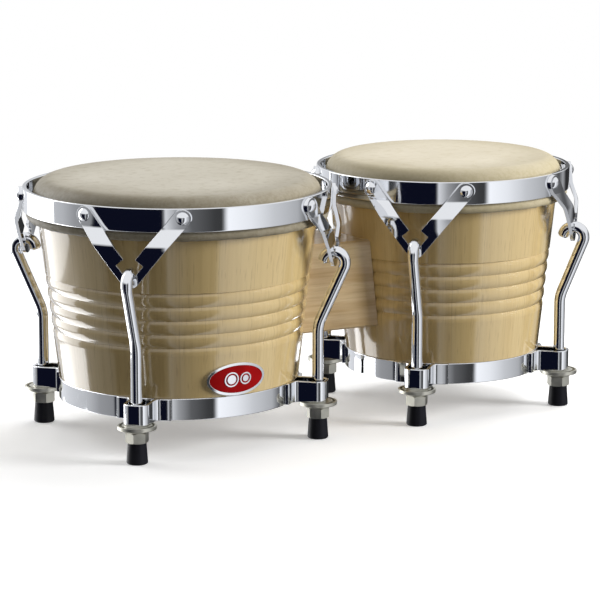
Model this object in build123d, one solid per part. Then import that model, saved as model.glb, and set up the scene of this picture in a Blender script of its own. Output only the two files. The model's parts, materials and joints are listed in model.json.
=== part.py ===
"""Bongo drums: a large and a small tapered shell on one centre block.

Each hide head is pulled down by a steel rim. Four hooked rods per drum hold the rim by
riveted V hooks, run through brackets on the bottom band, and end in nuts and rubber feet.

Millimetres, +Z up, +X from the large drum to the small one, -Y at the badge's side.
The origin is on the floor, under the middle of the pair's outline.
"""
from build123d import *
import math
import os
from dataclasses import dataclass


@dataclass(frozen=True)
class Drum:
    """What differs between the two drums."""

    name: str
    rim_r: float          # outer radius of the tuning rim
    rim_gap: float        # between the rim and the shell's bearing edge
    taper: float          # how much less the bottom band's radius is than the rim's
    crown_rise: float     # top of the head above the rim's top edge
    side: int             # -1 stands left of the block, +1 right of it

    @property
    def shell_top_r(self):
        return self.rim_r - RIM_WALL - self.rim_gap

    @property
    def band_r(self):
        return self.rim_r - self.taper


# ---- Driving dimensions ----
LARGE = Drum("large", rim_r=100.0, rim_gap=5.2, taper=21.5, crown_rise=5.4, side=-1)
SMALL = Drum("small", rim_r=85.5, rim_gap=4.5, taper=19.3, crown_rise=6.6, side=1)
RIM_TO_RIM = 12.7         # between the two rims
RIM_TOP = 162.9           # height of both rims' top edges above the floor

# Shell
WALL_TOP = 13.5
WALL_BOTTOM = 8.5
EDGE_ROUND = 10.5         # outer rounding of the bearing edge
EDGE_ROUND_IN = 2.0
FLARE_HEIGHT = 10.0       # the steeper top stretch starts this far below the rim
FLARE = 1.8
SHOULDER_SETBACK = 0.4    # shell skin inside the band's face, just above the band
SHELL_RECESS = 1.5        # shell ends this far above the band's lower edge
GROOVE_COUNT = 5
GROOVE_PITCH = 8.9
GROOVE_START = 32.4       # lowest groove above the band
GROOVE_DEPTH = 1.3
GROOVE_LIP = 0.5

# Head
SKIN = 1.4
SKIN_GAP = 0.1
ROLL_HALF_WIDTH = 3.1
ROLL_HALF_HEIGHT = 3.0
ROLL_GAP = 0.5
HOOP_R = 2.1
HOOP_GAP = 0.1
SKIRT_LIFT = 0.5          # head's skirt ends this far above the rim's ledge

# Rim, V hooks and rivets
RIM_HEIGHT = 15.0
RIM_WALL = 3.0
LEDGE = 2.5
LEDGE_GAP = 0.6
RIM_TO_ROLL = 0.2
METAL_EDGE = 0.6          # rounding of the bar stock's edges
HOOK_PLATE = 2.3
HOOK_ARM = 10.8           # width of each arm
HOOK_BAR = 4.6            # width left under the notch
HOOK_SLOPE = 51.0         # degrees from level
HOOK_NECK_GAP = 0.4       # neck of the notch wider than the rod
HOOK_BOTTOM_ROUND = 6.5
HOOK_SEAT_ROUND = 2.0
HOOK_CORNER = 0.5
HOOK_BELLY = 5.0          # plate's middle outside the rim at its widest
HOOK_TOE = 3.7            # plate's middle outside the rim at its lower end
HOOK_BEND_TOP = 12.5      # first bend below the rim's top edge
HOOK_BEND_LOW = 24.0
HOOK_BEND_ROUND = 7.0
RIVET_SPREAD = 62.8
RIVET_DROP = 5.9          # rivets below the rim's top edge
RIVET_R = 2.5
RIVET_HEAD_R = 4.1
RIVET_DOME = 2.4
RIVET_TAIL = 1.0
RIVET_TAIL_R = 3.5
PRESS_GAP = 0.05

# Rods
LUG_COUNT = 4
LUG_CLOCK = 41.5          # first lug, degrees from the front towards the left
ROD_R = 3.7
THREAD_RISE = 0.3         # thread's crest outside the rod's own radius
HOOK_INSIDE_R = 3.3       # radius inside the hook
HOOK_OUTSET = 4.4         # hook's centre outside the rim's face
HOOK_TURN_END = 160.0
HOOK_TIP = 2.6
TIP_CHAMFER = 1.2
HOOK_REST_GAP = 0.25
ROD_KNEE = 36.4           # lower bend above the band
ROD_KNEE_R = 24.0
THREAD_DROP = 4.0         # thread ends this far below the band's top
THREAD_CHAMFER = 0.8
FOOT_SOLE = 3.5           # rubber under the rod's end

# Bottom band, brackets, cup washers, nuts and feet
BAND_HEIGHT = 13.8
BAND_WALL = 2.3
BAND_SEAT_GAP = 0.1
BRACKET_WALL = 1.8
BRACKET_GAP = 0.5         # in front of the thread
BRACKET_WIDTH = 16.4      # across the U, outside
BRACKET_NOSE_ROUND = 6.0
BRACKET_ROUND = 3.5
BRACKET_LAP = 18.0        # each flange reaches this far from the rod's line
ROD_REACH = 15.0          # rod's axis outside the band
CUP_R = 12.4
CUP_FOOT_R = 7.2
CUP_HEIGHT = 4.2
CUP_LIP = 2.3
CUP_RIM = 1.2             # rim's thickness, outside the channel
CUP_SEAT_R = 9.6          # flat seat under the bracket, inside the channel
CUP_CHANNEL = 1.7
CUP_GAP = 0.3
NUT_FLATS = 13.0
NUT_HEIGHT = 6.6
NUT_CHAMFER = 0.9
NUT_CLEARANCE = 0.08
FOOT_HEIGHT = 13.6
FOOT_TOP_R = 5.9
FOOT_BOTTOM_R = 6.9
FOOT_ROUND = 1.2
STACK_GAP = 0.15

# Centre block and its bolts
BLOCK_WIDTH = 50.0
BLOCK_BOTTOM = 22.4       # above the band
BLOCK_HEIGHT = 59.0
BLOCK_EDGE = 1.2
BLOCK_GAP = 0.05
BOLT_R = 3.0
BOLT_HOLE_GAP = 0.25
BOLT_SPREAD = 32.0
BOLT_FLATS = 10.0
BOLT_HEAD = 4.0
BOLT_NUT = 5.0
BOLT_END = 2.5
BOLT_WASHER = 1.5
BOLT_WASHER_R = 8.5
SPOT_DEPTH = 1.8
SPOT_GAP = 0.6

# Badge
BADGE_WIDTH = 41.0
BADGE_HEIGHT = 21.4
BADGE_ABOVE_BAND = 0.4
BADGE_PLATE = 1.0
BADGE_BORDER = 1.7
BADGE_BORDER_RISE = 0.6
BADGE_ENAMEL = 0.4
BADGE_ENAMEL_GAP = 0.1
BADGE_TURN = 2.0          # degrees from the front towards the block

# ---- Sizes, heights and places that follow ----
THREAD_R = ROD_R + THREAD_RISE
HOOK_TURN_R = ROD_R + HOOK_INSIDE_R
DRUM_SPACING = LARGE.rim_r + SMALL.rim_r + RIM_TO_RIM
NUT_BOTTOM = FOOT_HEIGHT + STACK_GAP
CUP_BOTTOM = NUT_BOTTOM + NUT_HEIGHT + STACK_GAP
BAND_BOTTOM = CUP_BOTTOM + CUP_HEIGHT
BAND_TOP = BAND_BOTTOM + BAND_HEIGHT
SHELL_BOTTOM = BAND_BOTTOM + SHELL_RECESS
RIM_BOTTOM = RIM_TOP - RIM_HEIGHT
FLARE_START = RIM_BOTTOM - FLARE_HEIGHT
RIVET_HEIGHT = RIM_TOP - RIVET_DROP
HOOK_TAN = math.tan(math.radians(HOOK_SLOPE))
HOOK_COS = math.cos(math.radians(HOOK_SLOPE))
HOOK_SIN = math.sin(math.radians(HOOK_SLOPE))
HOOK_VERTEX = RIVET_HEIGHT - RIVET_SPREAD / 2 * HOOK_TAN - HOOK_ARM / 2 / HOOK_COS
HOOK_SEAT = HOOK_VERTEX + HOOK_BAR / HOOK_COS
HOOK_CENTRE = HOOK_SEAT + ROD_R / HOOK_COS + HOOK_REST_GAP - HOOK_TURN_R
SMALL_X = (LARGE.rim_r - SMALL.rim_r + DRUM_SPACING) / 2
LARGE_X = SMALL_X - DRUM_SPACING
BLOCK_Z = BAND_TOP + BLOCK_BOTTOM
LUG_NAMES = ("front_left", "front_right", "back_right", "back_left")


def centre_x(drum):
    return LARGE_X if drum is LARGE else SMALL_X


def shell_top(drum):
    return RIM_TOP + drum.crown_rise - SKIN - SKIN_GAP


def shell_radius(drum, z):
    """Outer radius of the shell's two straight tapers, at the crests of the beads."""
    shoulder = drum.band_r - SHOULDER_SETBACK
    waist = drum.shell_top_r - FLARE
    if z <= FLARE_START:
        return shoulder + (waist - shoulder) * (z - BAND_TOP) / (FLARE_START - BAND_TOP)
    top = shell_top(drum) - EDGE_ROUND
    return waist + FLARE * min(1.0, (z - FLARE_START) / (top - FLARE_START))


def inner_radius(drum, z):
    bottom = drum.band_r - BAND_WALL - BAND_SEAT_GAP - WALL_BOTTOM
    top = drum.shell_top_r - WALL_TOP
    return bottom + (top - bottom) * (z - SHELL_BOTTOM) / (shell_top(drum) - SHELL_BOTTOM)


def skin_radius(drum):
    """Outer radius of the head where it stands upright inside the rim."""
    return drum.shell_top_r + SKIN_GAP + SKIN


def rod_radius(drum):
    return drum.band_r + ROD_REACH


def lug_angles():
    """Turn of each lug about its drum's axis, from +X."""
    return [-90 - LUG_CLOCK + 360 / LUG_COUNT * i for i in range(LUG_COUNT)]


# ---- Helpers ----
def rz(r, z):
    return Vector(r, 0, z)


def lines(points):
    return [Line(a, b) for a, b in zip(points, points[1:])]


def quarter(r, z, radius, start):
    """Quarter circle about (r, z) from the angle start, anticlockwise in the r-z plane."""
    at = [math.radians(start + turn) for turn in (0, 45, 90)]
    return ThreePointArc(*[rz(r + radius * math.cos(a), z + radius * math.sin(a)) for a in at])


def turned(edges):
    """Solid of revolution about +Z from a closed chain of edges in the r-z plane."""
    return revolve(make_face(edges), axis=Axis.Z)


def bar_ring(points, rounded, radius=METAL_EDGE):
    """Ring turned from a polygon whose corners numbered in rounded are eased."""
    face = make_face(Polyline(*[rz(*p) for p in points], close=True))
    corners = [rz(*points[i]) for i in rounded]
    eased = [v for v in face.vertices() if any((Vector(v) - c).length < 1e-4 for c in corners)]
    return revolve(fillet(eased, radius), axis=Axis.Z)


def hexagon(flats, height, chamfer, bore=0.0):
    """Hexagon prism along +Z with both ends turned down, and a bore if one is given."""
    corner = flats / 2 / math.cos(math.pi / 6)
    prism = extrude(RegularPolygon(corner, 6), height)
    drop = chamfer * math.tan(math.radians(30))
    turn = turned(lines([rz(0, 0), rz(corner - chamfer, 0), rz(corner, drop),
                         rz(corner, height - drop), rz(corner - chamfer, height),
                         rz(0, height), rz(0, 0)]))
    body = prism & turn
    if bore:
        body -= Pos(0, 0, height / 2) * Cylinder(bore, height + 1)
    return body


def at_lugs(drum, piece):
    """The piece, modelled on +X about the drum's axis, copied to every lug."""
    return [Pos(centre_x(drum), 0, 0) * Rot(0, 0, angle) * piece for angle in lug_angles()]


# ---- Shell and head ----
def bolt_heights():
    middle = BLOCK_Z + BLOCK_HEIGHT / 2
    return [middle - BOLT_SPREAD / 2, middle + BOLT_SPREAD / 2]


def spot_radius(drum, z):
    """Distance of a bolt's flat seat inside the shell from the drum's axis."""
    return inner_radius(drum, z - BOLT_WASHER_R) + SPOT_DEPTH


def make_shell(drum):
    seat = drum.band_r - BAND_WALL - BAND_SEAT_GAP
    shoulder_z = BAND_TOP + BAND_SEAT_GAP
    top = shell_top(drum)
    grooves = [BAND_TOP + GROOVE_START + GROOVE_PITCH * i for i in range(GROOVE_COUNT)]
    swell = grooves[0] - GROOVE_PITCH / 2
    lip = grooves[-1] + GROOVE_LIP

    def crest(z):
        return rz(shell_radius(drum, z), z)

    def valley(z):
        return rz(shell_radius(drum, z) - GROOVE_DEPTH, z)

    edges = lines([rz(inner_radius(drum, SHELL_BOTTOM), SHELL_BOTTOM), rz(seat, SHELL_BOTTOM),
                   rz(seat, shoulder_z), crest(shoulder_z), crest(swell)])
    half_swell = swell + GROOVE_PITCH / 4
    eased = rz(shell_radius(drum, half_swell) - GROOVE_DEPTH / 4, half_swell)
    edges.append(ThreePointArc(crest(swell), eased, valley(grooves[0])))
    for low, high in zip(grooves, grooves[1:]):
        edges.append(ThreePointArc(valley(low), crest((low + high) / 2), valley(high)))
    edges += lines([valley(grooves[-1]), crest(lip), crest(FLARE_START), crest(top - EDGE_ROUND)])
    edges.append(quarter(drum.shell_top_r - EDGE_ROUND, top - EDGE_ROUND, EDGE_ROUND, 0))
    mouth = drum.shell_top_r - WALL_TOP
    low = top - EDGE_ROUND_IN
    edges.append(Line(rz(drum.shell_top_r - EDGE_ROUND, top), rz(mouth + EDGE_ROUND_IN, top)))
    edges.append(Line(rz(mouth + EDGE_ROUND_IN, top), rz(inner_radius(drum, low), low)))
    edges.append(Line(rz(inner_radius(drum, low), low),
                      rz(inner_radius(drum, SHELL_BOTTOM), SHELL_BOTTOM)))
    shell = turned(edges)
    for z in bolt_heights():
        face = spot_radius(drum, z)
        hole = Pos(face, 0, z) * Rot(0, 90, 0) * Cylinder(BOLT_R + BOLT_HOLE_GAP, face)
        spot_r = BOLT_WASHER_R + SPOT_GAP
        spot = Pos(face / 2, 0, z) * Rot(0, 90, 0) * Cylinder(spot_r, face)
        shell -= Rot(0, 0, 90 + 90 * drum.side) * (hole + spot)
    return Pos(centre_x(drum), 0, 0) * shell


def make_head(drum):
    top = shell_top(drum)
    bottom = RIM_BOTTOM + LEDGE + SKIRT_LIFT
    bend_r = drum.shell_top_r - EDGE_ROUND
    bend_z = top - EDGE_ROUND
    edges = [Line(rz(0, top + SKIN_GAP), rz(bend_r, top + SKIN_GAP)),
             quarter(bend_r, bend_z, EDGE_ROUND + SKIN_GAP, 0),
             quarter(bend_r, bend_z, EDGE_ROUND + SKIN_GAP + SKIN, 0),
             Line(rz(bend_r, top + SKIN_GAP + SKIN), rz(0, top + SKIN_GAP + SKIN)),
             Line(rz(0, top + SKIN_GAP), rz(0, top + SKIN_GAP + SKIN))]
    inner = drum.shell_top_r + SKIN_GAP
    low = shell_radius(drum, bottom) + SKIN_GAP
    edges += lines([rz(inner, bend_z), rz(low, bottom), rz(low + SKIN, bottom),
                    rz(inner + SKIN, bend_z)])
    return Pos(centre_x(drum), 0, 0) * turned(edges)


def roll_centre(drum):
    z = RIM_BOTTOM - RIM_TO_ROLL - ROLL_HALF_HEIGHT
    return shell_radius(drum, z + ROLL_HALF_HEIGHT) + ROLL_GAP + ROLL_HALF_WIDTH, z


def make_skin_roll(drum):
    r, z = roll_centre(drum)
    section = Plane.XZ * (Pos(r, z) * (Ellipse(ROLL_HALF_WIDTH, ROLL_HALF_HEIGHT)
                                       - Circle(HOOP_R + HOOP_GAP)))
    return Pos(centre_x(drum), 0, 0) * revolve(section, axis=Axis.Z)


def make_flesh_hoop(drum):
    r, z = roll_centre(drum)
    return Pos(centre_x(drum), 0, 0) * revolve(Plane.XZ * (Pos(r, z) * Circle(HOOP_R)), axis=Axis.Z)


# ---- Rim, V hooks and rivets ----
def rivet_turn(drum):
    """Angle from a lug's line to each of its two rivets."""
    return math.degrees(math.asin(RIVET_SPREAD / 2 / (drum.rim_r + HOOK_PLATE / 2)))


def rivet_places(drum):
    turn = rivet_turn(drum)
    return [Pos(0, 0, RIVET_HEIGHT) * Rot(0, 0, sign * turn) for sign in (-1, 1)]


def rivet_hole(drum):
    length = RIM_WALL + HOOK_PLATE
    middle = drum.rim_r + (HOOK_PLATE - RIM_WALL) / 2
    return Pos(middle, 0, 0) * Rot(0, 90, 0) * Cylinder(RIVET_R + PRESS_GAP, 2 * length)


def make_rim(drum):
    inner = drum.rim_r - RIM_WALL
    ledge_r = skin_radius(drum) + LEDGE_GAP
    points = [(ledge_r, RIM_BOTTOM), (drum.rim_r, RIM_BOTTOM), (drum.rim_r, RIM_TOP),
              (inner, RIM_TOP), (inner, RIM_BOTTOM + LEDGE), (ledge_r, RIM_BOTTOM + LEDGE)]
    rim = bar_ring(points, rounded=(1, 2, 3))
    for angle in lug_angles():
        for place in rivet_places(drum):
            rim -= Rot(0, 0, angle) * place * rivet_hole(drum)
    return Pos(centre_x(drum), 0, 0) * rim


def hook_outline():
    """The V with its stepped notch, in a plane with x along the rim and y up."""
    half = RIVET_SPREAD / 2
    across = Vector(-HOOK_SIN, HOOK_COS) * (HOOK_ARM / 2)
    rivet = Vector(half, RIVET_HEIGHT)
    inner_low = HOOK_VERTEX + HOOK_ARM / HOOK_COS
    arm = make_face(Polyline(rivet + across, (0, inner_low), (0, HOOK_VERTEX), rivet - across,
                             close=True))
    arm += Pos(*rivet) * Circle(HOOK_ARM / 2)
    neck = ROD_R + HOOK_NECK_GAP / 2
    step = Vector(neck, inner_low + neck * HOOK_TAN)
    step_low = step + Vector(HOOK_SIN, -HOOK_COS) * (HOOK_ARM - HOOK_BAR)
    arm -= make_face(Polyline((0, HOOK_SEAT), step_low, step, (0, step.Y), close=True))
    outline = (arm + mirror(arm, about=Plane.YZ)).face()

    def ease(face, spots, radius):
        found = [v for v in face.vertices() if any((Vector(v) - s).length < 1e-3 for s in spots)]
        return fillet(found, radius).face()

    outline = ease(outline, [Vector(0, HOOK_VERTEX)], HOOK_BOTTOM_ROUND)
    outline = ease(outline, [Vector(0, HOOK_SEAT)], HOOK_SEAT_ROUND)
    corners = [Vector(sign * p.X, p.Y) for p in (step, step_low) for sign in (-1, 1)]
    return ease(outline, corners, HOOK_CORNER)


def hook_sheet(drum):
    """Ring of plate round the rim with the hook's double bend, before the V is cut from it."""
    face_r = drum.rim_r + PRESS_GAP + HOOK_PLATE / 2
    bend_top = RIM_TOP - HOOK_BEND_TOP
    bend_low = RIM_TOP - HOOK_BEND_LOW
    low = HOOK_VERTEX - HOOK_PLATE
    middle = FilletPolyline(rz(face_r, RIM_TOP + HOOK_PLATE), rz(face_r, bend_top),
                            rz(drum.rim_r + HOOK_BELLY, bend_low), rz(drum.rim_r + HOOK_TOE, low),
                            radius=HOOK_BEND_ROUND)
    return revolve(make_face(offset(middle, HOOK_PLATE / 2, kind=Kind.INTERSECTION,
                                    side=Side.BOTH).edges()), axis=Axis.Z)


def make_hook(drum):
    start = 0.8 * drum.rim_r
    plane = Plane(origin=(start, 0, 0), x_dir=(0, 1, 0), z_dir=(1, 0, 0))
    blank = extrude(plane * hook_outline(), 1.2 * drum.rim_r - start)
    hook = blank & hook_sheet(drum)
    for place in rivet_places(drum):
        hook -= place * rivet_hole(drum)
    return hook


def make_rivets(drum):
    inside = drum.rim_r - RIM_WALL - 2 * PRESS_GAP
    outside = drum.rim_r + HOOK_PLATE + 2 * PRESS_GAP
    shape = lines([Vector(inside - RIVET_TAIL, 0), Vector(inside - RIVET_TAIL, RIVET_TAIL_R),
                   Vector(inside, RIVET_TAIL_R), Vector(inside, RIVET_R),
                   Vector(outside, RIVET_R), Vector(outside, RIVET_HEAD_R)])
    ball = (RIVET_HEAD_R ** 2 + RIVET_DOME ** 2) / (2 * RIVET_DOME)
    peak = outside + RIVET_DOME
    half = math.asin(RIVET_HEAD_R / ball) / 2
    middle = Vector(peak - ball + ball * math.cos(half), ball * math.sin(half))
    shape.append(ThreePointArc(Vector(outside, RIVET_HEAD_R), middle, Vector(peak, 0)))
    shape.append(Line(Vector(peak, 0), Vector(inside - RIVET_TAIL, 0)))
    rivet = revolve(make_face(shape), axis=Axis.X)
    return [piece for place in rivet_places(drum) for piece in at_lugs(drum, place * rivet)]


# ---- Rods, feet and nuts ----
def make_rod(drum):
    """Hooked rod: upright thread, knee, outward slope, then the hook over the V's seat."""
    foot_r = rod_radius(drum)
    hook_r = drum.rim_r + HOOK_OUTSET
    knee = BAND_TOP + ROD_KNEE
    out = hook_r - foot_r
    rise = HOOK_CENTRE - knee
    slope = math.atan2(out, rise) + math.asin(HOOK_TURN_R / math.hypot(out, rise))
    touch = (hook_r + HOOK_TURN_R * math.cos(slope), HOOK_CENTRE - HOOK_TURN_R * math.sin(slope))
    thread_top = BAND_TOP - THREAD_DROP
    shank = FilletPolyline((foot_r, thread_top), (foot_r, knee), touch, radius=ROD_KNEE_R)
    start = -math.degrees(slope)
    turn = CenterArc((hook_r, HOOK_CENTRE), HOOK_TURN_R, start, HOOK_TURN_END - start)
    tip = Line(turn @ 1, turn @ 1 + (turn % 1) * HOOK_TIP)
    path = Plane.XZ * (shank + turn + tip)
    bar = sweep(Plane(origin=(foot_r, 0, thread_top)) * Circle(ROD_R), path=path)
    tip_face = min(bar.faces(), key=lambda f: (f.center() - (path @ 1)).length)
    bar = chamfer(tip_face.edges(), TIP_CHAMFER)
    length = thread_top - FOOT_SOLE
    thread = Pos(foot_r, 0, FOOT_SOLE + length / 2) * Cylinder(THREAD_R, length)
    thread = chamfer(thread.edges().filter_by(GeomType.CIRCLE).sort_by(Axis.Z)[0], THREAD_CHAMFER)
    return bar + thread


def make_foot(drum):
    cone = turned(lines([rz(0, 0), rz(FOOT_BOTTOM_R, 0), rz(FOOT_TOP_R, FOOT_HEIGHT),
                         rz(0, FOOT_HEIGHT), rz(0, 0)]))
    sole = cone.edges().filter_by(GeomType.CIRCLE).sort_by(Axis.Z)[0]
    cone = fillet(sole, FOOT_ROUND)
    depth = FOOT_HEIGHT - FOOT_SOLE + PRESS_GAP
    hole = Pos(0, 0, FOOT_HEIGHT - depth / 2) * Cylinder(THREAD_R + PRESS_GAP, depth)
    return Pos(rod_radius(drum), 0, 0) * (cone - hole)


def make_nut(drum):
    nut = hexagon(NUT_FLATS, NUT_HEIGHT, NUT_CHAMFER, bore=THREAD_R + NUT_CLEARANCE)
    return Pos(rod_radius(drum), 0, NUT_BOTTOM) * nut


def make_cup(drum):
    """Cone washer that carries the bracket on a flat seat, with a channel inside its rim."""
    bore = THREAD_R + CUP_GAP
    floor = CUP_HEIGHT - CUP_CHANNEL
    cup = turned(lines([rz(bore, 0), rz(CUP_FOOT_R, 0), rz(CUP_R, CUP_HEIGHT - CUP_LIP),
                        rz(CUP_R, CUP_HEIGHT), rz(CUP_R - CUP_RIM, CUP_HEIGHT),
                        rz(CUP_R - CUP_RIM, floor), rz(CUP_SEAT_R, floor),
                        rz(CUP_SEAT_R, CUP_HEIGHT), rz(bore, CUP_HEIGHT), rz(bore, 0)]))
    rings = cup.edges().filter_by(GeomType.CIRCLE).filter_by(lambda e: e.radius > CUP_R - 0.01)
    return Pos(rod_radius(drum), 0, CUP_BOTTOM) * fillet(rings.sort_by(Axis.Z)[0], METAL_EDGE)


# ---- Bottom band and its brackets ----
def make_band(drum):
    inner = drum.band_r - BAND_WALL
    points = [(inner, BAND_BOTTOM), (drum.band_r, BAND_BOTTOM), (drum.band_r, BAND_TOP),
              (inner, BAND_TOP)]
    return Pos(centre_x(drum), 0, 0) * bar_ring(points, rounded=(1, 2))


def make_bracket(drum):
    """Wide U strap round the thread, with a flange lapped on the band at each side."""
    lap_r = drum.band_r + PRESS_GAP
    rod_r = rod_radius(drum)
    start = 0.8 * drum.band_r
    nose = rod_r + THREAD_R + BRACKET_GAP + BRACKET_WALL
    outer = BRACKET_WIDTH / 2
    inner = outer - BRACKET_WALL
    loop = Pos((start + nose) / 2, 0) * RectangleRounded(nose - start, 2 * outer, BRACKET_NOSE_ROUND)
    slot = Pos((start + nose) / 2 - BRACKET_WALL, 0) * RectangleRounded(
        nose - start, 2 * inner, BRACKET_NOSE_ROUND - BRACKET_WALL)
    ring = Circle(lap_r + BRACKET_WALL) & (Pos(rod_r, 0) * Rectangle(2 * rod_r, 2 * BRACKET_LAP))
    face = ((ring + loop) - Circle(lap_r) - slot).face()
    crook = math.sqrt((lap_r + BRACKET_WALL) ** 2 - outer ** 2)
    crooks = [Vector(crook, sign * outer) for sign in (-1, 1)]
    found = [v for v in face.vertices() if any((Vector(v) - c).length < 1e-3 for c in crooks)]
    face = fillet(found, BRACKET_ROUND)
    return Pos(0, 0, BAND_BOTTOM) * extrude(face, BAND_HEIGHT)


# ---- Centre block and bolts ----
def cone_blank(drum):
    """The shell's outer taper as one solid, a little oversize, to scoop the block with."""
    low = BLOCK_Z - 1
    high = BLOCK_Z + BLOCK_HEIGHT + 1
    edges = lines([rz(0, low), rz(shell_radius(drum, low) + BLOCK_GAP, low),
                   rz(shell_radius(drum, high) + BLOCK_GAP, high), rz(0, high), rz(0, low)])
    return Pos(centre_x(drum), 0, 0) * turned(edges)


def make_block():
    middle = BLOCK_Z + BLOCK_HEIGHT / 2
    block = Pos(LARGE_X + DRUM_SPACING / 2, 0, middle) * Box(DRUM_SPACING, BLOCK_WIDTH, BLOCK_HEIGHT)
    block = chamfer(block.edges().filter_by(Axis.X), BLOCK_EDGE)
    block -= cone_blank(LARGE)
    block -= cone_blank(SMALL)
    for z in bolt_heights():
        hole = Rot(0, 90, 0) * Cylinder(BOLT_R + BOLT_HOLE_GAP, DRUM_SPACING)
        block -= Pos(LARGE_X + DRUM_SPACING / 2, 0, z) * hole
    return block


def bolt_seats(z):
    """Where the two shells' inner seats for one bolt lie along X."""
    return LARGE_X + spot_radius(LARGE, z), SMALL_X - spot_radius(SMALL, z)


def along_x(piece, x, z):
    return Pos(x, 0, z) * Rot(0, 90, 0) * piece


def make_bolts():
    bolts = []
    for z in bolt_heights():
        left, right = bolt_seats(z)
        start = left - BOLT_WASHER
        end = right + BOLT_WASHER + BOLT_NUT + BOLT_END
        shank = Pos(0, 0, (end - start) / 2) * Cylinder(BOLT_R, end - start)
        head = Pos(0, 0, -BOLT_HEAD) * hexagon(BOLT_FLATS, BOLT_HEAD, METAL_EDGE)
        bolts.append(along_x(head + shank, start, z))
    return bolts


def make_bolt_washers():
    washer = Cylinder(BOLT_WASHER_R, BOLT_WASHER) - Cylinder(BOLT_R + PRESS_GAP, 2 * BOLT_WASHER)
    washers = []
    for z in bolt_heights():
        left, right = bolt_seats(z)
        washers.append(along_x(washer, left - BOLT_WASHER / 2, z))
        washers.append(along_x(washer, right + BOLT_WASHER / 2, z))
    return washers


def make_bolt_nuts():
    nut = hexagon(BOLT_FLATS, BOLT_NUT, METAL_EDGE, bore=BOLT_R + PRESS_GAP)
    return [along_x(nut, bolt_seats(z)[1] + BOLT_WASHER, z) for z in bolt_heights()]


# ---- Badge ----
def badge_layer(start, thickness, width, height):
    """Oval cut from the shell's taper, between two distances off its surface."""
    bottom = BAND_TOP + BADGE_ABOVE_BAND
    middle = bottom + BADGE_HEIGHT / 2
    low = bottom - 1
    high = bottom + BADGE_HEIGHT + 1
    inner = [rz(shell_radius(LARGE, z) + start, z) for z in (low, high)]
    outer = [point + Vector(thickness, 0, 0) for point in reversed(inner)]
    sheet = turned(lines(inner + outer + inner[:1]))
    plane = Plane(origin=(0.5 * LARGE.band_r, 0, middle), x_dir=(0, 1, 0), z_dir=(1, 0, 0))
    return extrude(plane * Ellipse(width / 2, height / 2), LARGE.band_r) & sheet


def place_badge(piece):
    return Pos(LARGE_X, 0, 0) * Rot(0, 0, BADGE_TURN - 90) * piece


def make_badge_plate():
    field = (BADGE_WIDTH - 2 * BADGE_BORDER, BADGE_HEIGHT - 2 * BADGE_BORDER)
    plate = badge_layer(PRESS_GAP, BADGE_PLATE + BADGE_BORDER_RISE, BADGE_WIDTH, BADGE_HEIGHT)
    recess = badge_layer(PRESS_GAP + BADGE_PLATE, 2 * BADGE_BORDER_RISE, *field)
    return place_badge(plate - recess)


def make_badge_enamel():
    margin = 2 * (BADGE_BORDER + BADGE_ENAMEL_GAP)
    start = PRESS_GAP + BADGE_PLATE + PRESS_GAP
    enamel = badge_layer(start, BADGE_ENAMEL, BADGE_WIDTH - margin, BADGE_HEIGHT - margin)
    return place_badge(enamel)


# ---- The assembly ----
def drum_nodes(drum):
    nodes = {"shell": [make_shell(drum)], "head": [make_head(drum)],
             "skin_roll": [make_skin_roll(drum)], "flesh_hoop": [make_flesh_hoop(drum)],
             "rim": [make_rim(drum)], "rivets": make_rivets(drum),
             "bottom_band": [make_band(drum)],
             "brackets": at_lugs(drum, make_bracket(drum)),
             "cone_washers": at_lugs(drum, make_cup(drum))}
    repeated = {"v_hook": make_hook(drum), "rod": make_rod(drum), "foot": make_foot(drum),
                "nut": make_nut(drum)}
    for kind, piece in repeated.items():
        for lug, placed in zip(LUG_NAMES, at_lugs(drum, piece)):
            nodes[f"{kind}_{lug}"] = [placed]
    return {f"{drum.name}_{name}": pieces for name, pieces in nodes.items()}


def all_nodes():
    nodes = {"centre_block": [make_block()], "block_bolts": make_bolts(),
             "block_washers": make_bolt_washers(), "block_nuts": make_bolt_nuts(),
             "badge_plate": [make_badge_plate()], "badge_enamel": [make_badge_enamel()]}
    for drum in (LARGE, SMALL):
        nodes.update(drum_nodes(drum))
    return nodes


os.makedirs("parts", exist_ok=True)
for node, pieces in all_nodes().items():
    solids = [solid for piece in pieces for solid in piece.solids()]
    shape = solids[0] if len(solids) == 1 else Compound(solids)
    export_step(shape, f"parts/{node}.step")
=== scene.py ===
"""Bongo drums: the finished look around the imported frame. Metres, +Z up, -Y at the badge's side."""

import json
import math

import bpy
from mathutils import Matrix, Vector


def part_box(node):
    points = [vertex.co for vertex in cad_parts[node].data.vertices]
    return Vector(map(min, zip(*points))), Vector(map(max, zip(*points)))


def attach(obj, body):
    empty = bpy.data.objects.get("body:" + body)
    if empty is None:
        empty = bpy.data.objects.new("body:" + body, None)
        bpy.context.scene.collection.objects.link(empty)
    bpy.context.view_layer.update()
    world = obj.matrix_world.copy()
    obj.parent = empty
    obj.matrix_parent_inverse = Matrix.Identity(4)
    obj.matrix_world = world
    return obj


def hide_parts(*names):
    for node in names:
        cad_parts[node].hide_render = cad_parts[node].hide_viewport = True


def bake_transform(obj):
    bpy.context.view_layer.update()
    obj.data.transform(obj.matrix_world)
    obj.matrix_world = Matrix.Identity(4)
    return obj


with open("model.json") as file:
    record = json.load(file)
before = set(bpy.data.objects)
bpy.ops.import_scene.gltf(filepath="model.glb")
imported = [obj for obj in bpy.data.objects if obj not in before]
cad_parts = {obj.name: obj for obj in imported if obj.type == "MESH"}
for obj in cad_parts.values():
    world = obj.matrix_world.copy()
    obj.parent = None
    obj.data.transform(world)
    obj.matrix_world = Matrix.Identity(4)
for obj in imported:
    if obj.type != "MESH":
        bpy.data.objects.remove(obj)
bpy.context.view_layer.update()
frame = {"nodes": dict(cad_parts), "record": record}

DRUMS = ("large", "small")
MM = 0.001

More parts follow.
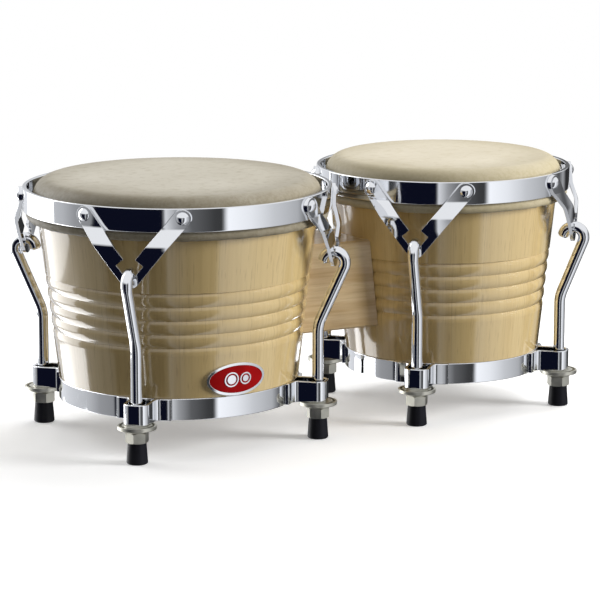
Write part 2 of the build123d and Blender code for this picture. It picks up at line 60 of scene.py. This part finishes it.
# ---- Sizes ----
STAVES = 22
CHROME_EDGE = 0.3 * MM
SKIN = 1.4 * MM              # thickness of the hide
HEAD_BEND = 11.9 * MM        # round of the head over the shell's edge
HEAD_CROWN = 1.2 * MM
ROLL_HALF_WIDTH = 3.1 * MM
ROLL_LUMP = 5 * MM
ROLL_LUMP_DEPTH = 0.9 * MM
BRACKET_CHAMFER = 0.35 * MM
EMBLEM_RAISE = 0.3 * MM
EMBLEM_LINE = 0.9 * MM       # width of the emblem's rings
EMBLEM_GAP = 1.0 * MM        # between a ring and its disc
EMBLEM_DRUMS = ((-4.0 * MM, 4.9 * MM), (5.9 * MM, 4.0 * MM))    # place along the badge, radius


# ---- Places read from the frame ----
def middle(node):
    """Centre of a node's box."""
    low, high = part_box(node)
    return (low + high) / 2


def radius(node):
    """Radius of a round node."""
    low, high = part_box(node)
    return (high.x - low.x) / 2


AXIS = {drum: Vector((middle(f"{drum}_rim").x, 0, 0)) for drum in DRUMS}


# ---- Materials ----
class Value:
    """One socket's output, so that shader maths reads as arithmetic."""

    def __init__(self, paint, socket):
        self.paint = paint
        self.socket = socket

    def math(self, operation, *others):
        terms = {0: self, **dict(enumerate(others, 1))}
        return self.paint.node("ShaderNodeMath", {"operation": operation}, terms)

    def __add__(self, other):
        return self.math("ADD", other)

    def __radd__(self, other):
        return self.math("ADD", other)

    def __sub__(self, other):
        return self.math("SUBTRACT", other)

    def __rsub__(self, other):
        return self.paint.node("ShaderNodeMath", {"operation": "SUBTRACT"}, {0: other, 1: self})

    def __mul__(self, other):
        return self.math("MULTIPLY", other)

    def __rmul__(self, other):
        return self.math("MULTIPLY", other)

    def __truediv__(self, other):
        return self.math("DIVIDE", other)

    def between(self, low, high, start=0.0, end=1.0):
        """start at low and end at high, held beyond both."""
        return self.paint.node("ShaderNodeMapRange", {"clamp": True},
                               {"Value": self, "From Min": low, "From Max": high,
                                "To Min": start, "To Max": end})


class Paint:
    """One material's nodes: its fixed finish on the shader, and patterns linked to it."""

    def __init__(self, name, color, tree=None, **fixed):
        if tree is None:
            self.material = bpy.data.materials.new(name)
            self.material.use_nodes = True
            tree = self.material.node_tree
            self.shader = tree.nodes["Principled BSDF"]
            self.shader.inputs["Base Color"].default_value = (*color, 1)
            for socket, value in fixed.items():
                self.shader.inputs[socket.replace("_", " ")].default_value = value
        self.tree = tree

    def node(self, kind, settings=None, values=None, output=0):
        new = self.tree.nodes.new(kind)
        for setting, value in (settings or {}).items():
            if setting == "stops":
                ramp = new.color_ramp
                while len(ramp.elements) < len(value):
                    ramp.elements.new(0.5)
                for element, (place, color) in zip(ramp.elements, value):
                    element.position = place
                    element.color = (*color, 1)
            else:
                setattr(new, setting, value)
        for socket, value in (values or {}).items():
            if isinstance(value, Value):
                self.tree.links.new(value.socket, new.inputs[socket])
            else:
                new.inputs[socket].default_value = value
        return Value(self, new.outputs[output])

    def place(self):
        return self.node("ShaderNodeTexCoord", output="Object")

    def moved(self, place, move):
        return self.node("ShaderNodeMapping", {"vector_type": "POINT"},
                         {"Vector": place, "Location": move})

    def axes(self, place):
        return [self.node("ShaderNodeSeparateXYZ", None, {0: place}, output=i) for i in range(3)]

    def vector(self, x, y, z):
        return self.node("ShaderNodeCombineXYZ", None, {0: x, 1: y, 2: z})

    def noise(self, place, scale, detail=2.0, roughness=0.5):
        return self.node("ShaderNodeTexNoise", {"noise_dimensions": "3D"},
                         {"Vector": place, "Scale": scale, "Detail": detail, "Roughness": roughness})

    def blend(self, mask, first, second):
        return self.node("ShaderNodeMix", {"data_type": "RGBA"}, {0: mask, 6: first, 7: second}, output=2)

    def bump(self, height, strength, distance, normal=None):
        values = {"Height": height, "Strength": strength, "Distance": distance}
        if normal:
            values["Normal"] = normal
        return self.node("ShaderNodeBump", None, values)

    def put(self, **links):
        for socket, value in links.items():
            self.tree.links.new(value.socket, self.shader.inputs[socket.replace("_", " ")])


def rgba(r, g, b):
    return (r, g, b, 1)


def chrome_paint():
    """Mirror plate with faint smears and ripples, and its sharp edges softened."""
    paint = Paint("bright_chrome", (0.80, 0.81, 0.83), Metallic=1.0, Roughness=0.05)
    place = paint.place()
    smear = paint.noise(place, 60, 3).between(0.35, 0.75)
    paint.put(Roughness=smear * 0.05 + 0.035)
    ripple = paint.noise(place, 45, 1)
    edges = paint.node("ShaderNodeBevel", {"samples": 4}, {"Radius": CHROME_EDGE})
    paint.put(Normal=paint.bump(ripple, 0.05, 0.001, edges))
    return paint.material


def zinc_paint():
    """Dull plate, clouded and finely grained."""
    paint = Paint("satin_zinc", (0.72, 0.70, 0.66), Metallic=1.0, Roughness=0.3)
    place = paint.place()
    grain = paint.noise(place, 900, 3)
    cloud = paint.noise(place, 120, 2).between(0.3, 0.7)
    paint.put(Base_Color=paint.blend(cloud, rgba(0.54, 0.53, 0.46), rgba(0.72, 0.70, 0.61)),
              Roughness=cloud * 0.12 + 0.34, Normal=paint.bump(grain, 0.08, 0.0005))
    return paint.material


def rubber_paint():
    """Black rubber with a little dust."""
    paint = Paint("black_rubber", (0.006, 0.006, 0.009), Roughness=0.5, Specular_IOR_Level=0.25)
    place = paint.place()
    grain = paint.noise(place, 700, 4)
    dust = paint.noise(place, 90, 3).between(0.5, 0.8)
    paint.put(Base_Color=paint.blend(dust, rgba(0.003, 0.003, 0.006), rgba(0.009, 0.009, 0.013)),
              Roughness=dust * 0.15 + 0.45, Normal=paint.bump(grain, 0.12, 0.0004))
    return paint.material


def shell_paint(drum):
    """Lacquered staves: upright grain, each stave a little different, fine dark pores."""
    paint = Paint(f"{drum}_shell_wood", (0.8, 0.66, 0.42), Roughness=0.16, Coat_Weight=1.0,
                  Coat_Roughness=0.07, Coat_IOR=1.55)
    spot = paint.moved(paint.place(), tuple(-AXIS[drum]))
    x, y, z = paint.axes(spot)
    turn = y.math("ARCTAN2", x) / (2 * math.pi) + 0.5
    stave = (turn * STAVES).math("FLOOR")
    along = (turn * STAVES).math("FRACT")
    tone = paint.node("ShaderNodeTexWhiteNoise", {"noise_dimensions": "1D"}, {"W": stave + 0.5})
    around = turn * 0.52
    grain_place = paint.vector(around + tone * 3, tone * 5, z * 0.05)
    broad = paint.noise(grain_place, 70, 3, 0.55).between(0.3, 0.72)
    fine = paint.noise(paint.vector(around + tone * 3, tone * 5, z * 0.03), 420, 2, 0.6).between(0.42, 0.75)
    pores = paint.noise(paint.vector(around, tone * 5, z * 0.09), 900, 1, 0.5).between(0.63, 0.72)
    seam = (along - 0.5).math("ABSOLUTE").between(0.488, 0.5)
    wood = paint.blend(broad, rgba(0.66, 0.50, 0.235), rgba(0.58, 0.41, 0.165))
    wood = paint.blend(fine * 0.35, wood, rgba(0.44, 0.29, 0.10))
    wood = paint.blend(tone * 0.3, wood, rgba(0.72, 0.57, 0.30))
    wood = paint.blend(pores * 0.25, wood, rgba(0.30, 0.19, 0.08))
    wood = paint.blend(seam * 0.35, wood, rgba(0.30, 0.19, 0.08))
    paint.put(Base_Color=wood, Roughness=broad * 0.08 + 0.16,
              Normal=paint.bump(paint.noise(spot, 14, 2), 0.04, 0.004))
    return paint.material


def block_paint():
    """Pale wood with its grain lying level along the block."""
    paint = Paint("block_wood", (0.8, 0.64, 0.4), Roughness=0.3, Coat_Weight=0.35, Coat_Roughness=0.12)
    x, y, z = paint.axes(paint.place())
    bend = paint.noise(paint.place(), 6, 1) * 0.012
    grain_place = paint.vector(x * 0.06, y + bend, z + bend)
    rings = paint.noise(grain_place, 170, 3, 0.55).between(0.35, 0.7)
    fine = paint.noise(paint.vector(x * 0.05, y, z), 900, 2, 0.6).between(0.45, 0.75)
    wood = paint.blend(rings, rgba(0.82, 0.64, 0.37), rgba(0.62, 0.42, 0.20))
    wood = paint.blend(fine * 0.4, wood, rgba(0.48, 0.30, 0.13))
    paint.put(Base_Color=wood, Roughness=rings * 0.15 + 0.25,
              Normal=paint.bump(rings, 0.08, 0.0006))
    return paint.material


def hide_paint(drum, pale, tan, fleck_and_edge_shade):
    """Rawhide: cloudy and flecked, darkened towards the rim by painted shade and some wear, with a mottled
    band of painted shade at its edge.
    """
    paint = Paint(f"{drum}_rawhide", pale, Roughness=0.5, Specular_IOR_Level=0.35)
    spot = paint.moved(paint.place(), tuple(-AXIS[drum]))
    x, y, z = paint.axes(spot)
    reach = (x * x + y * y).math("SQRT")
    cloud = paint.noise(spot, 16, 5, 0.6).between(0.32, 0.7)
    fleck = paint.noise(spot, 160, 3, 0.6).between(0.5, 0.8)
    hide = paint.blend(cloud, rgba(*pale), rgba(*tan))
    hide = paint.blend(fleck * 0.25, hide, rgba(*fleck_and_edge_shade))
    edge_r = radius(f"{drum}_head")
    # Painted shade with some wear: the hide's colour darkens towards the rim, as if its rounding over the
    # edge were in shade.
    edge_shade_and_wear = reach.between(edge_r - 0.036, edge_r - 0.006) * (cloud * 0.3 + 0.42)
    hide = paint.blend(edge_shade_and_wear, hide, rgba(*fleck_and_edge_shade))
    mottle = paint.noise(spot, 420, 3, 0.7).between(0.42, 0.62)
    # Painted shade: a mottled darker band just inside the rim stands in for the shade where the hide bends
    # over the edge.
    outer = reach.between(edge_r - 0.013, edge_r - 0.002) * (mottle * 0.35 + 0.22)
    hide = paint.blend(outer, hide, rgba(*fleck_and_edge_shade))
    paint.put(Base_Color=hide, Roughness=fleck * 0.2 + 0.42,
              Normal=paint.bump(paint.noise(spot, 260, 4, 0.65), 0.14, 0.0006))
    return paint.material


def enamel_paint():
    """Deep red, hardly glossy."""
    paint = Paint("red_enamel", (0.36, 0.004, 0.005), Roughness=0.4, Specular_IOR_Level=0.1)
    place = paint.place()
    cloud = paint.noise(place, 90, 2).between(0.3, 0.7)
    paint.put(Base_Color=paint.blend(cloud, rgba(0.32, 0.003, 0.004), rgba(0.40, 0.005, 0.006)))
    return paint.material


CHROME = chrome_paint()
ZINC = zinc_paint()
RUBBER = rubber_paint()
BLOCK_WOOD = block_paint()
ENAMEL = enamel_paint()
SHELL_WOOD = {drum: shell_paint(drum) for drum in DRUMS}
# Each drum's dark colour is the colour of its flecks and of the painted shade at its rim; the large drum's
# is darker, painting deeper shade there.
HIDE = {"large": hide_paint("large", pale=(0.57, 0.53, 0.435), tan=(0.475, 0.435, 0.34),
                            fleck_and_edge_shade=(0.20, 0.165, 0.10)),
        "small": hide_paint("small", pale=(0.74, 0.67, 0.52), tan=(0.62, 0.55, 0.40),
                            fleck_and_edge_shade=(0.40, 0.34, 0.20))}


def node_material(node):
    drum = node.split("_")[0]
    if node.endswith("_shell"):
        return SHELL_WOOD[drum]
    if node.endswith(("_head", "_skin_roll")):
        return HIDE[drum]
    if "_foot_" in node:
        return RUBBER
    if "_nut_" in node or node.endswith(("cone_washers", "flesh_hoop")) or node.startswith("block_"):
        return ZINC
    if node == "centre_block":
        return BLOCK_WOOD
    if node == "badge_enamel":
        return ENAMEL
    return CHROME


for name, obj in frame["nodes"].items():
    obj.data.materials.clear()
    obj.data.materials.append(node_material(name))


# ---- Making pieces ----
def body_of(node):
    """The moving body that holds a node."""
    bodies = frame["record"]["behaviour"]["bodies"]
    return next(body for body, nodes in bodies.items() if node in nodes)


def edit(piece, mode="VERT"):
    """Opens a piece's mesh for shaping, with nothing else selected."""
    bpy.ops.object.select_all(action="DESELECT")
    piece.select_set(True)
    bpy.context.view_layer.objects.active = piece
    bpy.ops.object.mode_set(mode="EDIT")
    bpy.ops.mesh.select_mode(type=mode)


def leave():
    bpy.ops.object.mode_set(mode="OBJECT")


def apply_all(piece):
    bpy.ops.object.select_all(action="DESELECT")
    piece.select_set(True)
    bpy.context.view_layer.objects.active = piece
    for modifier in list(piece.modifiers):
        bpy.ops.object.modifier_apply(modifier=modifier.name)


def settle(piece):
    """Object at the origin, unturned and unscaled, with its place in its mesh."""
    bpy.ops.object.select_all(action="DESELECT")
    piece.select_set(True)
    bpy.context.view_layer.objects.active = piece
    bpy.ops.object.transform_apply(location=True, rotation=True, scale=True)


def smooth(piece, degrees=35):
    bpy.ops.object.select_all(action="DESELECT")
    piece.select_set(True)
    bpy.context.view_layer.objects.active = piece
    bpy.ops.object.shade_smooth_by_angle(angle=math.radians(degrees))


def turned_piece(name, axis, rings, sides=160):
    """Closed solid turned about a drum's axis: a capped circle extruded ring by ring."""
    bpy.ops.object.select_all(action="DESELECT")
    first_r, first_z = rings[1]
    bpy.ops.mesh.primitive_circle_add(vertices=sides, radius=first_r, fill_type="TRIFAN",
                                      location=(axis.x, axis.y, first_z))
    piece = bpy.context.object
    piece.name = name
    settle(piece)
    edit(piece)
    bpy.ops.mesh.select_all(action="DESELECT")
    bpy.ops.mesh.select_mode(type="EDGE")
    bpy.ops.mesh.select_non_manifold()
    for (old_r, old_z), (r, z) in zip(rings[1:], rings[2:-1]):
        bpy.ops.mesh.extrude_region_move(TRANSFORM_OT_translate={"value": (0, 0, z - old_z)})
        scale = r / old_r
        bpy.ops.transform.resize(value=(scale, scale, 1), center_override=(axis.x, axis.y, z))
    bpy.ops.mesh.extrude_region_move(TRANSFORM_OT_translate={"value": (0, 0, rings[-1][1] - rings[-2][1])})
    bpy.ops.mesh.merge(type="CENTER")
    bpy.ops.mesh.select_all(action="SELECT")
    bpy.ops.mesh.normals_make_consistent(inside=False)
    leave()
    return piece


def arc(r, z, radius_r, radius_z, start, end, count):
    """Rings along an arc about (r, z), from one angle to another in degrees."""
    turns = [math.radians(start + (end - start) * i / count) for i in range(count + 1)]
    return [(r + radius_r * math.cos(a), z + radius_z * math.sin(a)) for a in turns]


# ---- Hides ----
def make_hide(drum):
    """One skin per drum: flat head, round its edge, down inside the rim and tucked round the hoop."""
    reach = radius(f"{drum}_head")
    head_low, head_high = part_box(f"{drum}_head")
    roll_low, roll_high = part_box(f"{drum}_skin_roll")
    top = head_high.z
    bend = HEAD_BEND
    roll_z = (roll_low.z + roll_high.z) / 2
    half_z = (roll_high.z - roll_low.z) / 2
    roll_r = (roll_high.x - roll_low.x) / 2 - ROLL_HALF_WIDTH
    flat = reach - bend
    rings = [(flat * part, top + HEAD_CROWN * (1 - part ** 2) ** 1.5)
             for part in (0, 0.25, 0.45, 0.6, 0.72, 0.82, 0.9, 0.96)]
    rings += arc(flat, top - bend, bend, bend, 90, 0, 12)
    rings += [(reach - 0.25 * MM, top - bend - 4 * MM), (reach - 0.6 * MM, head_low.z)]
    rings += arc(roll_r, roll_z, ROLL_HALF_WIDTH, half_z, 140, 490, 26)
    rings += [(reach - SKIN - 0.4 * MM, head_low.z), (reach - SKIN, top - bend)]
    rings += arc(reach - bend, top - bend, bend - SKIN, bend - SKIN, 0, 90, 5)[1:]
    rings += [(reach * 0.5, top - SKIN), (0, top - SKIN)]
    hide = turned_piece(f"{drum}_hide", AXIS[drum], rings, sides=200)
    group = hide.vertex_groups.new(name="roll")
    low = [v.index for v in hide.data.vertices if v.co.z < roll_high.z - 0.4 * MM]
    group.add(low, 1.0, "REPLACE")
    lumps = bpy.data.textures.new(f"{drum}_lumps", "CLOUDS")
    lumps.noise_scale = ROLL_LUMP
    push = hide.modifiers.new("lumps", "DISPLACE")
    push.texture = lumps
    push.texture_coords = "LOCAL"
    push.vertex_group = "roll"
    push.strength = ROLL_LUMP_DEPTH
    push.mid_level = 0.62
    apply_all(hide)
    smooth(hide, 60)
    hide.data.materials.append(HIDE[drum])
    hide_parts(f"{drum}_head", f"{drum}_skin_roll")
    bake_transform(hide)
    return hide


# ---- Metalwork ----
def ease(node, width):
    """A merged copy of a node in its place, with a chamfer along its sharp edges."""
    piece = frame["nodes"][node].copy()
    piece.data = piece.data.copy()
    piece.name = f"{node}_eased"
    piece.parent = None
    piece.matrix_world = Matrix.Identity(4)
    bpy.context.scene.collection.objects.link(piece)
    for modifier in list(piece.modifiers):
        piece.modifiers.remove(modifier)
    edit(piece)
    bpy.ops.mesh.select_all(action="SELECT")
    bpy.ops.mesh.remove_doubles(threshold=1e-6)
    leave()
    rounding = piece.modifiers.new("rounding", "BEVEL")
    rounding.width = width
    rounding.segments = 1
    rounding.limit_method = "ANGLE"
    rounding.angle_limit = math.radians(38)
    rounding.use_clamp_overlap = False
    apply_all(piece)
    smooth(piece, 30)
    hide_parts(node)
    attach(piece, body_of(node))
    return piece


for drum in DRUMS:
    make_hide(drum)
    ease(f"{drum}_brackets", BRACKET_CHAMFER)


# ---- Badge ----
def lay_on_badge(piece):
    """Presses a flat shape that faces the badge down on its enamel."""
    lay = piece.modifiers.new("lay", "SHRINKWRAP")
    lay.target = frame["nodes"]["badge_enamel"]
    lay.wrap_method = "PROJECT"
    lay.use_project_z = True
    lay.use_negative_direction = True
    lay.use_positive_direction = False
    apply_all(piece)
    settle(piece)
    return piece


def make_emblem():
    """Two drums seen from above, raised on the enamel: a ring and a disc for each."""
    centre = middle("badge_enamel")
    out = centre - AXIS["large"]
    out.z = 0
    out.normalize()
    across = Vector((0, 0, 1)).cross(out)
    turn = (-out).to_track_quat("-Z", "Y").to_euler()
    shapes = []
    for step, size in EMBLEM_DRUMS:
        start = centre + across * step + out * 4 * MM
        for outer, line in ((size, EMBLEM_LINE), (size - EMBLEM_LINE - EMBLEM_GAP, 0)):
            bpy.ops.object.select_all(action="DESELECT")
            bpy.ops.mesh.primitive_circle_add(vertices=40, radius=outer, fill_type="NGON",
                                              location=start, rotation=turn)
            shape = bpy.context.object
            edit(shape, "FACE")
            bpy.ops.mesh.select_all(action="SELECT")
            bpy.ops.mesh.inset(thickness=line or outer / 2)
            if line:
                bpy.ops.mesh.delete(type="FACE")
            leave()
            shapes.append(lay_on_badge(shape))
    bpy.ops.object.select_all(action="DESELECT")
    for shape in shapes:
        shape.select_set(True)
    emblem = shapes[0]
    bpy.context.view_layer.objects.active = emblem
    bpy.ops.object.join()
    emblem.name = "badge_emblem"
    lift = emblem.modifiers.new("lift", "SOLIDIFY")
    lift.thickness = EMBLEM_RAISE
    lift.offset = 1
    apply_all(emblem)
    edit(emblem)
    bpy.ops.mesh.select_all(action="SELECT")
    bpy.ops.mesh.normals_make_consistent(inside=False)
    leave()
    smooth(emblem, 30)
    emblem.data.materials.append(CHROME)
    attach(emblem, body_of("badge_enamel"))
    return emblem


make_emblem()


# ---- Studio ----
def make_floor():
    """White paper that fades into the white beyond it, and neither shines nor lights the drums."""
    bpy.ops.object.select_all(action="DESELECT")
    bpy.ops.mesh.primitive_plane_add(size=4, location=(0, 0, 0))
    floor = bpy.context.object
    floor.name = "floor"
    paint = Paint("floor_paper", (0.98, 0.98, 0.98), Roughness=0.95, Emission_Color=(1, 1, 1, 1),
                  Emission_Strength=0.3)
    x, y, z = paint.axes(paint.place())
    reach = (x * x + y * y).math("SQRT")
    paint.put(Alpha=reach.between(0.35, 0.75, 1.0, 0.0))
    floor.data.materials.append(paint.material)
    floor.visible_glossy = False
    floor.visible_diffuse = False


def grey(tone):
    return (tone * 0.97, tone * 0.99, tone * 1.03)


BLACK = (0.004, 0.005, 0.014)
FILL = (0.17, 0.17, 0.17)

# Brightness round the room, from its left side by way of the camera's side: place, tone.
WALL_TONES = [(0.0, grey(0.3)), (0.005, BLACK), (0.151, BLACK), (0.156, grey(0.8)),
              (0.178, grey(0.38)), (0.211, grey(0.13)), (0.256, grey(0.055)), (0.272, grey(0.05)),
              (0.284, grey(1.15)), (0.333, grey(1.0)), (0.389, grey(0.7)), (0.458, grey(0.5)),
              (0.486, grey(0.16)), (0.53, grey(0.10)), (0.556, grey(0.4)), (0.58, grey(0.03)),
              (0.66, grey(0.04)), (0.69, grey(0.6)), (0.76, grey(0.9)), (0.90, grey(0.6)),
              (0.92, grey(0.55)), (0.955, grey(0.36)), (1.0, grey(0.3))]


def make_room():
    """White to the eye; bright panels and dark gaps in what shines."""
    world = bpy.data.worlds.new("studio")
    bpy.context.scene.world = world
    world.use_nodes = True
    tree = world.node_tree
    net = Paint("studio", None, tree=tree)
    x, y, z = net.axes(net.node("ShaderNodeTexCoord", output="Generated"))
    turn = y.math("ARCTAN2", x) / (2 * math.pi) + 0.5
    walls = net.node("ShaderNodeValToRGB", {"stops": WALL_TONES}, {0: turn})
    overhead = z.between(0.12, 0.34)
    shine = net.blend(overhead, walls, rgba(0.95, 0.96, 0.98))
    path = net.node("ShaderNodeLightPath", output="Is Glossy Ray")
    tone = net.blend(path, rgba(*FILL), shine)
    seen = net.node("ShaderNodeLightPath", output="Is Camera Ray")
    tone = net.blend(seen, tone, rgba(1, 1, 1))
    background = tree.nodes["Background"]
    tree.links.new(tone.socket, background.inputs["Color"])
    background.inputs["Strength"].default_value = 1.0


def area_light(name, place, size, power, aim=(0, 0, 0.08), shine=False):
    """A soft panel; one with shine is seen in the chrome and the lacquer."""
    light = bpy.data.lights.new(name, "AREA")
    light.shape = "RECTANGLE"
    light.size, light.size_y = size
    light.energy = power
    lamp = bpy.data.objects.new(name, light)
    bpy.context.scene.collection.objects.link(lamp)
    lamp.location = place
    lamp.rotation_euler = (Vector(aim) - Vector(place)).to_track_quat("-Z", "Y").to_euler()
    lamp.visible_glossy = shine
    lamp.visible_camera = False
    return lamp


def make_camera():
    data = bpy.data.cameras.new("view")
    camera = bpy.data.objects.new("view", data)
    bpy.context.scene.collection.objects.link(camera)
    data.sensor_width = 36
    data.lens = 174.05
    camera.location = (-0.8757, -1.6810, 0.4505)
    camera.rotation_euler = (math.pi / 2 - 0.194, 0, -0.479)
    bpy.context.scene.camera = camera


make_floor()
make_room()
area_light("left_softbox", (-0.486, 0.530, 0.39), (0.50, 0.94), 3.8, aim=(-0.09, 0, 0.39), shine=True)
area_light("left_low_panel", (-0.500, 0.515, -0.345), (0.56, 0.43), 3.0, aim=(-0.09, 0, -0.345), shine=True)
area_light("right_softbox", (1.5, -1.15, 0.6), (0.8, 1.0), 44)
area_light("top_softbox", (0.75, 0.45, 1.3), (1.4, 1.4), 18, aim=(0, 0, 0))
make_camera()
bpy.context.scene.view_settings.view_transform = "Standard"
